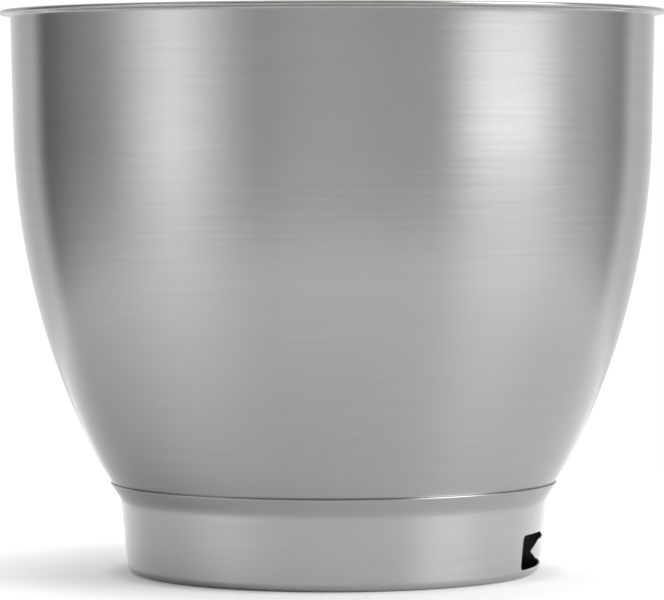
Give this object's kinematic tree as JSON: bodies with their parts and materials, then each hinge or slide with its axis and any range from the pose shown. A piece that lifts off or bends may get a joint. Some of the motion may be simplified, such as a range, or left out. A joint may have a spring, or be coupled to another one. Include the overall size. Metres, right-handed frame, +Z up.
{
  "type": "stand mixer bowl",
  "caption": "Spun brushed steel mixing bowl with a turned rim, a curved belly and a welded foot ring with twist lock windows.",
  "frame": {"origin": "on the bowl's axis, in the plane that the foot stands on", "axes": "+Z up along the bowl's axis; -Y is the front, with one lock window at the right edge, 10.5 degrees in front of +X"},
  "size_m": [0.245, 0.245, 0.207],
  "materials": {
    "bowl_steel": "fine brushing round the bowl",
    "foot_steel": "satin, brushed round the ring"
  },
  "bodies": {
    "root": {"bowl_shell": "bowl_steel", "foot_ring": "foot_steel"}
  },
  "joints": []
}
